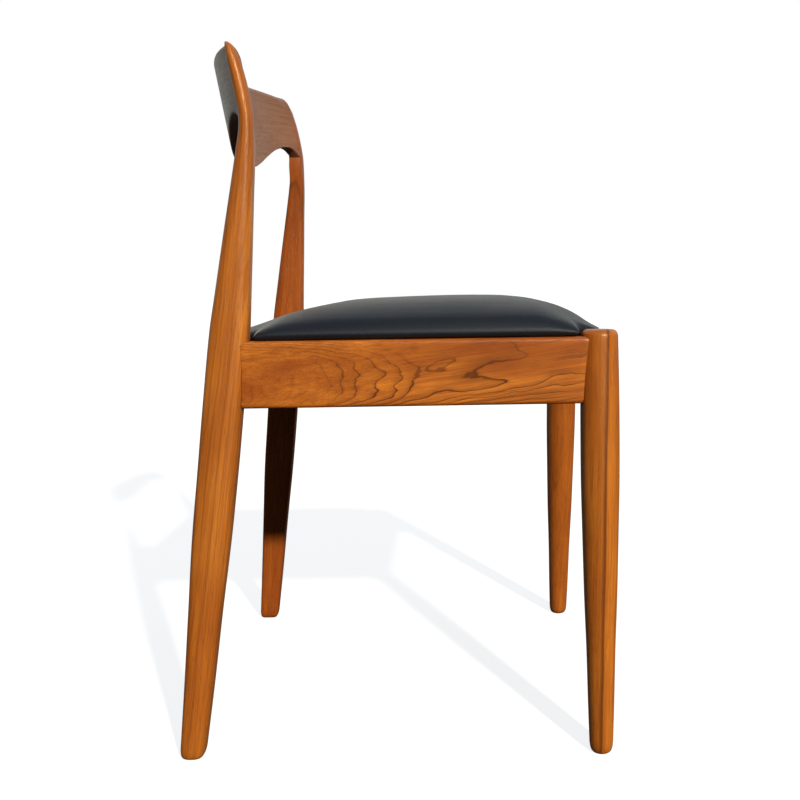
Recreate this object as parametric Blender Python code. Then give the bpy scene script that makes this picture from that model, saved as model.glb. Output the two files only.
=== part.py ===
"""A dining chair: a wooden frame, a curved backrest between two sculpted rear posts, and a padded leather seat.

Metres, +Z up. The chair faces -Y and the sitter's right is at -X. The origin is on the floor under the chair's
middle. Places are worked out as (across, forward, up), and forward is turned into -Y where vertices are made.
"""

import math

import bmesh
import bpy
from mathutils import Vector

RIGHT, LEFT = -1, 1
FIT_GAP = 0.0003

# Frame heights
HEIGHT = 0.7656
RAIL_BOTTOM, RAIL_TOP = 0.3645, 0.4365
FRONT_LEG_TOP = 0.4435

# Rails
RAIL_THICKNESS = 0.022
RAIL_EDGE_RADIUS = 0.004
SIDE_RAIL_OUTER_REAR, SIDE_RAIL_OUTER_FRONT = 0.2130, 0.2100
FRONT_RAIL_FACE = 0.2300
REAR_RAIL_FACE = -0.2010

# Front legs: round, tapered, splayed sideways and a little forward
FRONT_FOOT_ACROSS, FRONT_SPLAY_ACROSS = 0.2270, 0.0775
FRONT_FOOT_FORWARD, FRONT_RAKE = 0.2083, 0.0215
FRONT_LEG_RADII = (  # height, radius
    (0.000, 0.0121),
    (0.045, 0.0137),
    (0.105, 0.0154),
    (0.160, 0.0176),
    (0.230, 0.0195),
    (0.285, 0.0208),
    (0.365, 0.0211),
    (0.430, 0.0203),
    (FRONT_LEG_TOP, 0.0200),
)
FRONT_LEG_TOP_RADIUS = 0.0065

# Rear legs and posts: height, back edge, front edge, inner side, outer side, squareness of the section
REAR_LEG_SHAPE = (
    (0.0000, -0.2361, -0.2103, 0.2155, 0.2385, 2.6),
    (0.0765, -0.2317, -0.2009, 0.2093, 0.2341, 2.7),
    (0.1515, -0.2278, -0.1924, 0.2039, 0.2299, 2.8),
    (0.2265, -0.2239, -0.1831, 0.1987, 0.2258, 2.9),
    (0.3025, -0.2177, -0.1753, 0.1935, 0.2217, 3.0),
    (0.3625, -0.2129, -0.1700, 0.1896, 0.2186, 3.0),
    (0.4485, -0.2052, -0.1626, 0.1852, 0.2130, 2.9),
    (0.4915, -0.1990, -0.1612, 0.1833, 0.2099, 2.8),
    (0.5445, -0.1914, -0.1594, 0.1813, 0.2063, 2.6),
    (0.5965, -0.1837, -0.1579, 0.1791, 0.2025, 2.5),
    (0.6275, -0.1792, -0.1568, 0.1774, 0.2002, 2.4),
    (0.6505, -0.1760, -0.1566, 0.1740, 0.1984, 2.4),
    (0.6675, -0.1738, -0.1568, 0.1720, 0.1970, 2.4),
    (0.6855, -0.1741, -0.1580, 0.1720, 0.1957, 2.3),
    (0.7175, -0.1803, -0.1638, 0.1720, 0.1940, 2.2),
    (0.7445, -0.1862, -0.1713, 0.1720, 0.1926, 2.1),
    (0.7555, -0.1880, -0.1763, 0.1720, 0.1910, 2.0),
    (0.7620, -0.1888, -0.1802, 0.1720, 0.1885, 2.0),
    (HEIGHT, -0.1893, -0.1845, 0.1720, 0.1835, 2.0),
)
INNER_SQUARENESS = 3  # how much squarer a rear leg is on its inner side
FOOT_EASING = ((0.000, 0.0040), (0.003, 0.0014), (0.008, 0.0))  # height, how far the edge is drawn in

# Backrest: a curved board whose ends butt on the posts' inner sides
JOINT_ACROSS = 0.1720
BACK_LOW = 0.6495
BACK_TOP_MIDDLE, BACK_TOP_CREST, BACK_CREST_ACROSS = 0.7635, 0.7669, 0.1200
BACK_REAR_FACE, BACK_REAR_LEAN, BACK_REAR_RADIUS = -0.2112, 0.194, 0.370
BACK_INNER_FACE, BACK_INNER_LEAN, BACK_INNER_RADIUS = -0.1960, 0.200, 0.365
BACK_LOWER_EDGE = (  # distance from the middle, height
    (0.000, BACK_LOW),
    (0.030, 0.6515),
    (0.060, 0.6602),
    (0.090, 0.6728),
    (0.120, 0.6850),
    (0.145, 0.6905),
    (0.160, 0.6890),
    (JOINT_ACROSS, 0.6800),
)
BACK_TOP_ROUNDING_MIDDLE, BACK_TOP_ROUNDING_END = 0.008, 0.020
BACK_ROUNDING_START = 0.1400
BACK_TOP_LAND = 0.0043
BACK_LOWER_ARRIS = 0.0025
BACK_END_SLOPE = 0.5

# Dowels
RAIL_DOWEL_RADIUS, RAIL_DOWEL_LENGTH = 0.004, 0.036
BACK_DOWEL_RADIUS, BACK_DOWEL_LENGTH = 0.003, 0.024
BACK_DOWEL_HEIGHTS = (0.702, 0.733)

# Seat
SEAT_CENTRE = 0.015
SEAT_FRONT, SEAT_REAR = 0.2300, -0.1990
SEAT_SIDE_FRONT, SEAT_SIDE_REAR = 0.2085, 0.2105
FRONT_NOTCH_ACROSS, FRONT_NOTCH_FORWARD = 0.1695, 0.1960
REAR_NOTCH_ACROSS, REAR_NOTCH_FORWARD = 0.1815, -0.1590
SEAT_HALF_WIDTH, SEAT_HALF_DEPTH = 0.202, 0.206
SEAT_SQUARENESS = 5
NOTCH_FADE, OVAL_FADE = 0.14, 0.60
LEATHER = 0.0015
LINING_GAP = 0.0005
BOARD_THICKNESS = 0.004
BOARD_INSET = 0.006
FOAM_EDGE = 0.0010
CROWN_RISE = 0.0328
CROWN_POWER_REAR, CROWN_POWER_FRONT = 2.1, 5.0
CROWN_SHARES = (1.0, 0.965, 0.92, 0.85, 0.72, 0.54, 0.32, 0.12)
SEAT_FLANGE = 0.92
DUST_COVER_REACH, DUST_COVER_THICKNESS = 0.85, 0.0008

# Corner blocks and screws
BLOCK_LEG, BLOCK_HEIGHT, BLOCK_TOP = 0.058, 0.040, 0.4335
BLOCK_LEG_CLEARANCE = 0.026
SCREW_RADIUS, SCREW_HEAD_RADIUS, SCREW_HEAD_HEIGHT = 0.0018, 0.0036, 0.0025
BLOCK_SCREW_LENGTH = 0.026
SEAT_SCREW_LENGTH = 0.048

ROUND_SIDES = 8
LEG_SIDES = 20

TEAK = ("teak", (0.42, 0.17, 0.055), 0.38, 0.0)
TEAK_BACK = ("teak_back", (0.30, 0.15, 0.085), 0.42, 0.0)
BEECH = ("beech", (0.55, 0.36, 0.20), 0.60, 0.0)
PLYWOOD = ("plywood", (0.56, 0.42, 0.26), 0.70, 0.0)
FOAM = ("foam", (0.75, 0.68, 0.45), 0.90, 0.0)
BLACK_LEATHER = ("black_leather", (0.018, 0.022, 0.028), 0.35, 0.0)
DUST_CLOTH = ("dust_cloth", (0.02, 0.02, 0.02), 0.90, 0.0)
ZINC_STEEL = ("zinc_steel", (0.60, 0.60, 0.58), 0.35, 1.0)


def place(across, forward, up):
    """A point of the chair, from how far it is across, forward and up."""
    return Vector((across, -forward, up))


def along(stations, position):
    """The values at a position, on a smooth curve through stations of (position, value, ...)."""
    last = len(stations) - 1
    position = min(max(position, stations[0][0]), stations[last][0])
    index = 0
    while index < last - 1 and position > stations[index + 1][0]:
        index += 1
    start, end = stations[index], stations[index + 1]
    before = stations[max(index - 1, 0)]
    after = stations[min(index + 2, last)]
    span = end[0] - start[0]
    t = (position - start[0]) / span
    values = []
    for column in range(1, len(start)):
        slope_in = (end[column] - before[column]) / (end[0] - before[0]) * span
        slope_out = (after[column] - start[column]) / (after[0] - start[0]) * span
        values.append(
            (2 * t**3 - 3 * t**2 + 1) * start[column]
            + (t**3 - 2 * t**2 + t) * slope_in
            + (3 * t**2 - 2 * t**3) * end[column]
            + (t**3 - t**2) * slope_out
        )
    return values


def ease(value, low, high):
    """0 below low, 1 above high, and a smooth step between them."""
    t = min(max((value - low) / (high - low), 0.0), 1.0)
    return t * t * (3 - 2 * t)


def material(look):
    """The material of that name, made once."""
    name, colour, roughness, metallic = look
    found = bpy.data.materials.get(name)
    if found:
        return found
    made = bpy.data.materials.new(name)
    made.use_nodes = True
    shader = made.node_tree.nodes["Principled BSDF"]
    shader.inputs["Base Color"].default_value = (*colour, 1.0)
    shader.inputs["Roughness"].default_value = roughness
    shader.inputs["Metallic"].default_value = metallic
    return made


def add_object(name, mesh_builder, look, smooth_angle=40):
    """A new object from a bmesh, with its faces turned outwards."""
    bmesh.ops.recalc_face_normals(mesh_builder, faces=mesh_builder.faces)
    mesh = bpy.data.meshes.new(name)
    mesh_builder.to_mesh(mesh)
    mesh_builder.free()
    mesh.shade_smooth()
    mesh.set_sharp_from_angle(angle=math.radians(smooth_angle))
    mesh.materials.append(material(look))
    piece = bpy.data.objects.new(name, mesh)
    bpy.context.scene.collection.objects.link(piece)
    return piece


def skin(builder, rings, close_start=True, close_end=True):
    """Faces between rings of vertices, with a cap on each closed end."""
    rows = [[builder.verts.new(point) for point in ring] for ring in rings]
    for lower, upper in zip(rows, rows[1:]):
        for i in range(len(lower)):
            j = (i + 1) % len(lower)
            builder.faces.new((lower[i], lower[j], upper[j], upper[i]))
    if close_start:
        builder.faces.new(reversed(rows[0]))
    if close_end:
        builder.faces.new(rows[-1])
    return rows


def loft(name, rings, look):
    """One closed solid through rings of points."""
    builder = bmesh.new()
    skin(builder, rings)
    return add_object(name, builder, look)


def cut(piece, cutter):
    """Takes the cutter's space out of the piece."""
    modifier = piece.modifiers.new("cut_" + cutter.name, "BOOLEAN")
    modifier.operation = "DIFFERENCE"
    modifier.solver = "EXACT"
    modifier.object = cutter


def as_cutter(piece):
    """Marks an object as a tool that only cuts others."""
    piece.hide_render = True
    piece.display_type = "WIRE"
    return piece


def squared(angle, power):
    """A point on a unit curve between a circle, power 2, and a square, a high power."""
    c, s = math.cos(angle), math.sin(angle)
    return (
        math.copysign(abs(c) ** (2 / power), c),
        math.copysign(abs(s) ** (2 / power), s),
    )


def turned(name, profile, start, direction, look):
    """A turned solid along direction from start, through a profile of (distance along, radius)."""
    axis = direction.normalized()
    side = axis.orthogonal().normalized()
    other = axis.cross(side)
    rings = []
    for distance, radius in profile:
        ring = []
        for i in range(ROUND_SIDES):
            angle = 2 * math.pi * i / ROUND_SIDES
            spoke = side * math.cos(angle) + other * math.sin(angle)
            ring.append(start + axis * distance + spoke * radius)
        rings.append(ring)
    return loft(name, rings, look)


# Legs


def foot_easing(height):
    """How far a foot's edge is drawn in near the floor."""
    if height >= FOOT_EASING[-1][0]:
        return 0.0
    return along(FOOT_EASING, height)[0]


def front_leg_centre(height):
    """Where a front leg's centre line is across and forward."""
    return FRONT_FOOT_ACROSS - FRONT_SPLAY_ACROSS * height, FRONT_FOOT_FORWARD + FRONT_RAKE * height


def front_leg_radius(height):
    """A front leg's radius, with its foot eased and its top rounded over."""
    radius = along(FRONT_LEG_RADII, height)[0] - foot_easing(height)
    into_top = height - (FRONT_LEG_TOP - FRONT_LEG_TOP_RADIUS)
    if into_top > 0:
        radius -= FRONT_LEG_TOP_RADIUS - math.sqrt(max(FRONT_LEG_TOP_RADIUS**2 - into_top**2, 0.0))
    return radius


def front_leg_heights():
    """The heights of a front leg's rings, closer where it turns."""
    foot = [height for height, inset in FOOT_EASING]
    shaft = [0.030 + 0.047 * i for i in range(9)]
    top = [
        FRONT_LEG_TOP - FRONT_LEG_TOP_RADIUS * (1 - math.sin(math.radians(step)))
        for step in (0, 25, 50, 70, 90)
    ]
    return foot + shaft + top


def front_leg_rings(side, grow=0.0):
    """The rings of a front leg, grown by a gap where it is used as a cutter."""
    rings = []
    for height in front_leg_heights():
        across, forward = front_leg_centre(height)
        radius = front_leg_radius(height) + grow
        ring = []
        for i in range(LEG_SIDES):
            angle = 2 * math.pi * i / LEG_SIDES
            ring.append(
                place(
                    side * (across + radius * math.cos(angle)),
                    forward + radius * math.sin(angle),
                    height,
                )
            )
        rings.append(ring)
    return rings


def rear_leg_heights():
    """The heights of a rear leg's rings, closer at the foot, the backrest joint and the tip."""
    foot = [height for height, inset in FOOT_EASING]
    shaft = [0.030 + 0.055 * i for i in range(11)]
    joint = [0.615, 0.635, 0.648, 0.659, 0.668, 0.682, 0.700, 0.720, 0.736]
    tip = [0.747, 0.755, 0.761, HEIGHT]
    return foot + shaft + joint + tip


def rear_leg_rings(side, grow=0.0):
    """The rings of a rear leg and its post. Beside the backrest its inner side is flat and the section bends."""
    rings = []
    for height in rear_leg_heights():
        back, front, inner, outer, power = along(REAR_LEG_SHAPE, height)
        beside_back = ease(height, 0.643, 0.670)
        inset = foot_easing(height) - grow
        half_across = (outer - inner) / 2 - inset
        half_deep = (front - back) / 2 - inset
        inner_power = power + INNER_SQUARENESS + beside_back * 9
        ring = []
        for i in range(LEG_SIDES):
            angle = 2 * math.pi * (i + 0.5) / LEG_SIDES
            reach, depth = squared(angle, power if math.cos(angle) > 0 else inner_power)
            bend = -beside_back * BACK_END_SLOPE * half_across / 2 * min(reach, 0.0) ** 2
            ring.append(
                place(
                    side * ((inner + outer) / 2 + half_across * reach),
                    (front + back) / 2 + half_deep * depth + bend,
                    height,
                )
            )
        rings.append(ring)
    return rings


# Backrest


def curve_depth(across, radius):
    """How far forward a circle's arc has come at a distance from its middle."""
    return radius - math.sqrt(radius**2 - across**2)


def back_rear_face(across, height):
    """Where the backrest's rear face is."""
    leaned = BACK_REAR_FACE - BACK_REAR_LEAN * (height - BACK_LOW)
    return leaned + curve_depth(across, BACK_REAR_RADIUS)


def back_inner_face(across, height):
    """Where the face that the sitter leans on is."""
    leaned = BACK_INNER_FACE - BACK_INNER_LEAN * (height - BACK_LOW)
    return leaned + curve_depth(across, BACK_INNER_RADIUS)


def back_top(across):
    """The height of the backrest's top edge, which rises from its middle to a crest beside each post."""
    if across < BACK_CREST_ACROSS:
        return BACK_TOP_MIDDLE + (BACK_TOP_CREST - BACK_TOP_MIDDLE) * ease(across, 0.0, BACK_CREST_ACROSS)
    return BACK_TOP_CREST + (HEIGHT - BACK_TOP_CREST) * ease(across, BACK_CREST_ACROSS, JOINT_ACROSS)


def back_section(across):
    """The backrest's outline in the plane across its length, as (forward, up)."""
    low = along(BACK_LOWER_EDGE, abs(across))[0]
    top = back_top(abs(across))
    near_post = ease(abs(across), BACK_ROUNDING_START, JOINT_ACROSS)
    rounding = BACK_TOP_ROUNDING_MIDDLE + (BACK_TOP_ROUNDING_END - BACK_TOP_ROUNDING_MIDDLE) * near_post
    outline = []
    for step in range(4):
        height = low + BACK_LOWER_ARRIS + (top - BACK_TOP_LAND - low - BACK_LOWER_ARRIS) * step / 3
        outline.append((back_rear_face(across, height), height))
    for step in range(5):
        turn = math.radians(90 * (4 - step) / 4)
        height = top - rounding * (1 - math.sin(turn))
        rear, inner = back_rear_face(across, height), back_inner_face(across, height)
        land = rear + BACK_TOP_LAND
        outline.append((land + (inner - land) * math.cos(turn), height))
    for step in range(1, 4):
        height = top - rounding
        height += (low + BACK_LOWER_ARRIS - height) * step / 3
        outline.append((back_inner_face(across, height), height))
    outline.append((back_inner_face(across, low) - BACK_LOWER_ARRIS, low))
    outline.append((back_rear_face(across, low) + BACK_LOWER_ARRIS, low))
    return outline


def add_backrest():
    """The curved board between the posts."""
    steps = 28
    reach = JOINT_ACROSS - FIT_GAP
    rings = []
    for step in range(steps + 1):
        across = reach * (2 * step / steps - 1)
        rings.append([place(across, forward, up) for forward, up in back_section(across)])
    return loft("backrest", rings, TEAK_BACK)


# Rails


def rounded_section(half_width, half_height, radius, corner_steps=3):
    """A rounded rectangle about its own middle, as (sideways, up)."""
    points = []
    corners = ((1, 1, 0), (-1, 1, 90), (-1, -1, 180), (1, -1, 270))
    for sideways, up, first in corners:
        for step in range(corner_steps + 1):
            angle = math.radians(first + 90 * step / corner_steps)
            points.append(
                (
                    sideways * (half_width - radius) + radius * math.cos(angle),
                    up * (half_height - radius) + radius * math.sin(angle),
                )
            )
    return points


def side_rail_outer(forward):
    """How far out a side rail's outer face is."""
    rear = REAR_LEG_SHAPE[5][2]
    share = (forward - rear) / (front_leg_centre(RAIL_TOP)[1] - rear)
    return SIDE_RAIL_OUTER_REAR + (SIDE_RAIL_OUTER_FRONT - SIDE_RAIL_OUTER_REAR) * share


def rail_section():
    """The section that all four rails share."""
    return rounded_section(RAIL_THICKNESS / 2, (RAIL_TOP - RAIL_BOTTOM) / 2, RAIL_EDGE_RADIUS)


def add_side_rail(name, side, leg_cutters):
    """A side rail, cut to fit the faces of the two legs that it joins."""
    middle = (RAIL_TOP + RAIL_BOTTOM) / 2
    ends = (-0.184, front_leg_centre(middle)[1] - 0.004)
    rings = []
    for step in range(5):
        forward = ends[0] + (ends[1] - ends[0]) * step / 4
        centre = side_rail_outer(forward) - RAIL_THICKNESS / 2
        rings.append(
            [place(side * (centre + wide), forward, middle + up) for wide, up in rail_section()]
        )
    rail = loft(name, rings, TEAK)
    for cutter in leg_cutters:
        cut(rail, cutter)
    return rail


def add_cross_rail(name, face, towards_middle, reach, leg_cutters):
    """The front or the rear rail, between the two legs at that end."""
    middle = (RAIL_TOP + RAIL_BOTTOM) / 2
    centre = face + towards_middle * RAIL_THICKNESS / 2
    rings = []
    for step in range(5):
        across = reach * (2 * step / 4 - 1)
        rings.append([place(across, centre + deep, middle + up) for deep, up in rail_section()])
    rail = loft(name, rings, TEAK)
    for cutter in leg_cutters:
        cut(rail, cutter)
    return rail


# Dowels and screws


def add_dowel(name, middle, direction, radius, length, pieces):
    """A dowel, and the hole for it in each of the pieces that it joins."""
    axis = direction.normalized()
    chamfer = radius * 0.25
    profile = (
        (0.0, radius - chamfer),
        (chamfer, radius),
        (length - chamfer, radius),
        (length, radius - chamfer),
    )
    dowel = turned(name, profile, middle - axis * length / 2, axis, BEECH)
    hole_length = length + 2 * FIT_GAP
    hole_profile = ((0.0, radius + FIT_GAP), (hole_length, radius + FIT_GAP))
    hole = as_cutter(turned(name + "_hole", hole_profile, middle - axis * hole_length / 2, axis, BEECH))
    for piece in pieces:
        cut(piece, hole)
    return dowel


def add_screw(name, head_top, direction, length, pieces):
    """A screw with a countersunk head, and the hole for it in each piece that it passes through."""
    taper = SCREW_HEAD_HEIGHT
    profile = (
        (0.0, SCREW_HEAD_RADIUS),
        (taper, SCREW_RADIUS),
        (length - taper, SCREW_RADIUS),
        (length, SCREW_RADIUS * 0.3),
    )
    screw = turned(name, profile, head_top, direction, ZINC_STEEL)
    axis = direction.normalized()
    hole_profile = (
        (-SCREW_HEAD_HEIGHT, SCREW_HEAD_RADIUS + 2 * FIT_GAP),
        (0.0, SCREW_HEAD_RADIUS + 2 * FIT_GAP),
        (taper, SCREW_RADIUS + 2 * FIT_GAP),
        (length + 2 * FIT_GAP, SCREW_RADIUS + 2 * FIT_GAP),
    )
    hole = as_cutter(turned(name + "_hole", hole_profile, head_top, axis, ZINC_STEEL))
    for piece in pieces:
        cut(piece, hole)
    return screw


def add_rail_dowels(frame, side_name, side):
    """Two dowels in each end of a side rail and of the cross rails on this side."""
    rail = frame[f"side_rail_{side_name}"]
    middle = (RAIL_TOP + RAIL_BOTTOM) / 2
    spread = (RAIL_TOP - RAIL_BOTTOM) / 4
    joints = (
        ("front_side", f"front_leg_{side_name}", rail, 0.1940, None, -0.002),
        ("rear_side", f"rear_leg_{side_name}", rail, -0.1630, None, -0.002),
        ("front_cross", f"front_leg_{side_name}", frame["front_rail"], FRONT_RAIL_FACE, 0.1700, 0.007),
        ("rear_cross", f"rear_leg_{side_name}", frame["rear_rail"], REAR_RAIL_FACE, 0.1840, 0.007),
    )
    for joint, leg, joined_rail, forward, across, lift in joints:
        for place_name, sign in (("lower", -1), ("upper", 1)):
            height = middle + sign * spread + lift
            if across is None:
                centre = place(side * (side_rail_outer(forward) - RAIL_THICKNESS / 2), forward, height)
                direction = Vector((0, 1, 0))
            else:
                inward = -RAIL_THICKNESS / 2 if forward > 0 else RAIL_THICKNESS / 2
                centre = place(side * across, forward + inward, height)
                direction = Vector((1, 0, 0))
            add_dowel(
                f"dowel_{joint}_{place_name}_{side_name}",
                centre,
                direction,
                RAIL_DOWEL_RADIUS,
                RAIL_DOWEL_LENGTH,
                (frame[leg], joined_rail),
            )


def add_back_dowels(frame, side_name, side):
    """Two dowels between the backrest's end and the post."""
    for place_name, height in zip(("lower", "upper"), BACK_DOWEL_HEIGHTS):
        rear = back_rear_face(JOINT_ACROSS, height)
        inner = back_inner_face(JOINT_ACROSS, height)
        half_slope = BACK_END_SLOPE / 2
        add_dowel(
            f"dowel_back_{place_name}_{side_name}",
            place(side * (JOINT_ACROSS - 0.002), (rear + inner) / 2 - 0.001, height),
            Vector((side, -half_slope, 0)),
            BACK_DOWEL_RADIUS,
            BACK_DOWEL_LENGTH,
            (frame[f"rear_leg_{side_name}"], frame["backrest"]),
        )


# Corner blocks


def add_corner_block(name, side, frame, side_name, is_front):
    """A block glued and screwed into a corner of the seat frame, with its corner cut clear of the leg."""
    cross = "front_rail" if is_front else "rear_rail"
    face = FRONT_RAIL_FACE - RAIL_THICKNESS if is_front else REAR_RAIL_FACE + RAIL_THICKNESS
    towards = -1 if is_front else 1
    corner_across = side_rail_outer(face) - RAIL_THICKNESS - FIT_GAP
    corner_forward = face + towards * FIT_GAP
    far_forward = corner_forward + towards * BLOCK_LEG
    far_across = side_rail_outer(far_forward) - RAIL_THICKNESS - FIT_GAP
    clear_forward = corner_forward + towards * BLOCK_LEG_CLEARANCE
    clear_across = side_rail_outer(clear_forward) - RAIL_THICKNESS - FIT_GAP
    nib = 0.010
    outline = (
        (clear_across, clear_forward),
        (far_across, far_forward),
        (far_across - nib, far_forward),
        (corner_across - BLOCK_LEG, corner_forward + towards * nib),
        (corner_across - BLOCK_LEG, corner_forward),
        (corner_across - BLOCK_LEG_CLEARANCE, corner_forward),
    )
    rings = [
        [place(side * across, forward, up) for across, forward in outline]
        for up in (BLOCK_TOP - BLOCK_HEIGHT, BLOCK_TOP)
    ]
    block = loft(name, rings, BEECH)
    height = BLOCK_TOP - BLOCK_HEIGHT / 2
    to_side = (far_across - 0.016, far_forward - towards * 0.013)
    to_cross = (corner_across - BLOCK_LEG + 0.013, corner_forward + towards * 0.016)
    add_screw(
        name + "_side_screw",
        place(side * to_side[0], to_side[1], height + 0.008),
        Vector((side, 0, 0)),
        BLOCK_SCREW_LENGTH,
        (block, frame[f"side_rail_{side_name}"]),
    )
    add_screw(
        name + "_cross_screw",
        place(side * to_cross[0], to_cross[1], height - 0.008),
        Vector((0, towards, 0)),
        BLOCK_SCREW_LENGTH,
        (block, frame[cross]),
    )
    add_screw(
        f"seat_screw_{'front' if is_front else 'rear'}_{side_name}",
        place(side * (corner_across - 0.029), corner_forward + towards * 0.029, BLOCK_TOP - BLOCK_HEIGHT),
        Vector((0, 0, 1)),
        SEAT_SCREW_LENGTH,
        (block, frame["seat_board"]),
    )


# Seat


def arc_corner(before, corner, after, radius, steps=3):
    """The points of an arc that rounds a corner of an outline."""
    to_before = (before - corner).normalized()
    to_after = (after - corner).normalized()
    half = to_before.angle(to_after) / 2
    middle = corner + (to_before + to_after).normalized() * radius / math.sin(half)
    first = (corner + to_before * radius / math.tan(half) - middle).normalized()
    last = (corner + to_after * radius / math.tan(half) - middle).normalized()
    return [middle + first.slerp(last, step / steps) * radius for step in range(steps + 1)]


def seat_outline():
    """The seat's outline from above as (across, forward), notched round the front legs and the rear posts."""
    corners = (
        (FRONT_NOTCH_ACROSS, SEAT_FRONT, 0.010),
        (FRONT_NOTCH_ACROSS, FRONT_NOTCH_FORWARD, 0.014),
        (SEAT_SIDE_FRONT, FRONT_NOTCH_FORWARD, 0.005),
        (SEAT_SIDE_REAR, REAR_NOTCH_FORWARD, 0.005),
        (REAR_NOTCH_ACROSS, REAR_NOTCH_FORWARD, 0.005),
        (REAR_NOTCH_ACROSS, SEAT_REAR, 0.010),
    )
    mirrored = [(-across, forward, radius) for across, forward, radius in reversed(corners)]
    loop = list(corners) + mirrored
    points = []
    for index, (across, forward, radius) in enumerate(loop):
        before, after = loop[index - 1], loop[(index + 1) % len(loop)]
        corner = Vector((across, forward))
        rounding = arc_corner(Vector(before[:2]), corner, Vector(after[:2]), radius)
        points.extend(rounding)
        following = Vector(after[:2])
        extra = int((following - corner).length / 0.11)
        for step in range(1, extra + 1):
            points.append(corner.lerp(following, step / (extra + 1)))
    return points


def seat_ring(share, height, inset=0.0):
    """A ring of the seat, a share of the way out from its middle, with the notches softened away inwards."""
    soften = ease(1 - share, 0.0, NOTCH_FADE)
    rounding = ease(1 - share, NOTCH_FADE / 2, OVAL_FADE)
    middle = Vector((0, SEAT_CENTRE))
    ring = []
    for point in seat_outline():
        spoke = point - middle
        angle = math.atan2(spoke.y, spoke.x)
        full, oval = Vector(squared(angle, SEAT_SQUARENESS)), Vector(squared(angle, 2))
        plain = full.lerp(oval, rounding)
        plain = Vector((plain.x * SEAT_HALF_WIDTH, plain.y * SEAT_HALF_DEPTH))
        shaped = spoke.lerp(plain, soften) * share
        shaped -= shaped.normalized() * inset
        ring.append(place(middle.x + shaped.x, middle.y + shaped.y, height))
    return ring


def seat_levels():
    """The heights of the board's underside and top, and of the foam's underside."""
    board_bottom = RAIL_TOP + FIT_GAP + LEATHER + LINING_GAP
    board_top = board_bottom + BOARD_THICKNESS
    return board_bottom, board_top, board_top + LINING_GAP


def padding_ring(share, layer):
    """A ring on the foam's crowned top, a share of the way out, raised off it by a layer."""
    base = seat_levels()[2] + FOAM_EDGE
    ring = seat_ring(share, base, BOARD_INSET - (layer if share == 1 else 0))
    for point in ring:
        forwardness = ease(-point.y, SEAT_REAR, SEAT_FRONT)
        power = CROWN_POWER_REAR + (CROWN_POWER_FRONT - CROWN_POWER_REAR) * forwardness
        slope = CROWN_RISE * power * share ** (power - 1) / SEAT_HALF_WIDTH
        point.z += CROWN_RISE * (1 - share**power) + layer * math.hypot(1, slope)
    return ring


def add_seat_board():
    """The plywood board that carries the padding."""
    bottom, top, _ = seat_levels()
    rings = [seat_ring(1.0, bottom, BOARD_INSET), seat_ring(1.0, top, BOARD_INSET)]
    return loft("seat_board", rings, PLYWOOD)


def add_seat_foam():
    """The crowned foam on the board."""
    rings = [seat_ring(1.0, seat_levels()[2], BOARD_INSET)]
    rings.extend(padding_ring(share, 0.0) for share in CROWN_SHARES)
    return loft("seat_foam", rings, FOAM)


def add_seat_cover():
    """The leather, drawn over the foam and turned under the board's edge."""
    board_bottom = seat_levels()[0]
    lining = board_bottom - LINING_GAP
    edge_inset = BOARD_INSET - LINING_GAP
    outside = [
        seat_ring(SEAT_FLANGE, lining - LEATHER),
        seat_ring(1.0, lining - LEATHER, LEATHER / 2),
        seat_ring(1.0, lining),
    ]
    inside = [seat_ring(SEAT_FLANGE, lining), seat_ring(1.0, lining, edge_inset)]
    for share in CROWN_SHARES:
        inside.append(padding_ring(share, LINING_GAP))
        outside.append(padding_ring(share, LINING_GAP + LEATHER))
    builder = bmesh.new()
    outer_rows = skin(builder, outside, close_start=False)
    inner_rows = skin(builder, inside, close_start=False)
    rim_out, rim_in = outer_rows[0], inner_rows[0]
    for i in range(len(rim_out)):
        j = (i + 1) % len(rim_out)
        builder.faces.new((rim_out[i], rim_out[j], rim_in[j], rim_in[i]))
    return add_object("seat_cover", builder, BLACK_LEATHER)


def add_dust_cover():
    """The thin cloth under the board."""
    top = seat_levels()[0] - LINING_GAP
    bottom = top - DUST_COVER_THICKNESS
    rings = [seat_ring(DUST_COVER_REACH, bottom), seat_ring(DUST_COVER_REACH, top)]
    return loft("dust_cover", rings, DUST_CLOTH)


def build_chair():
    """Every piece of the chair."""
    for existing in list(bpy.data.objects):
        bpy.data.objects.remove(existing)
    frame = {}
    cutters = {}
    for side_name, side in (("right", RIGHT), ("left", LEFT)):
        front, rear = f"front_leg_{side_name}", f"rear_leg_{side_name}"
        frame[front] = loft(front, front_leg_rings(side), TEAK)
        frame[rear] = loft(rear, rear_leg_rings(side), TEAK)
        cutters[front] = as_cutter(loft(front + "_fit", front_leg_rings(side, FIT_GAP), TEAK))
        cutters[rear] = as_cutter(loft(rear + "_fit", rear_leg_rings(side, FIT_GAP), TEAK))
        rail = f"side_rail_{side_name}"
        frame[rail] = add_side_rail(rail, side, (cutters[front], cutters[rear]))
    front_cutters = (cutters["front_leg_right"], cutters["front_leg_left"])
    rear_cutters = (cutters["rear_leg_right"], cutters["rear_leg_left"])
    frame["front_rail"] = add_cross_rail("front_rail", FRONT_RAIL_FACE, -1, 0.190, front_cutters)
    frame["rear_rail"] = add_cross_rail("rear_rail", REAR_RAIL_FACE, 1, 0.200, rear_cutters)
    frame["backrest"] = add_backrest()
    frame["seat_board"] = add_seat_board()
    add_seat_foam()
    add_seat_cover()
    add_dust_cover()
    for side_name, side in (("right", RIGHT), ("left", LEFT)):
        add_rail_dowels(frame, side_name, side)
        add_back_dowels(frame, side_name, side)
        add_corner_block(f"front_block_{side_name}", side, frame, side_name, True)
        add_corner_block(f"rear_block_{side_name}", side, frame, side_name, False)


build_chair()
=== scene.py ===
"""The looks of the dining chair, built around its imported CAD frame. Metres, +Z up, the chair faces -Y."""

import math

import bmesh
import bpy
import numpy as np
from mathutils import Matrix, Vector


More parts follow.
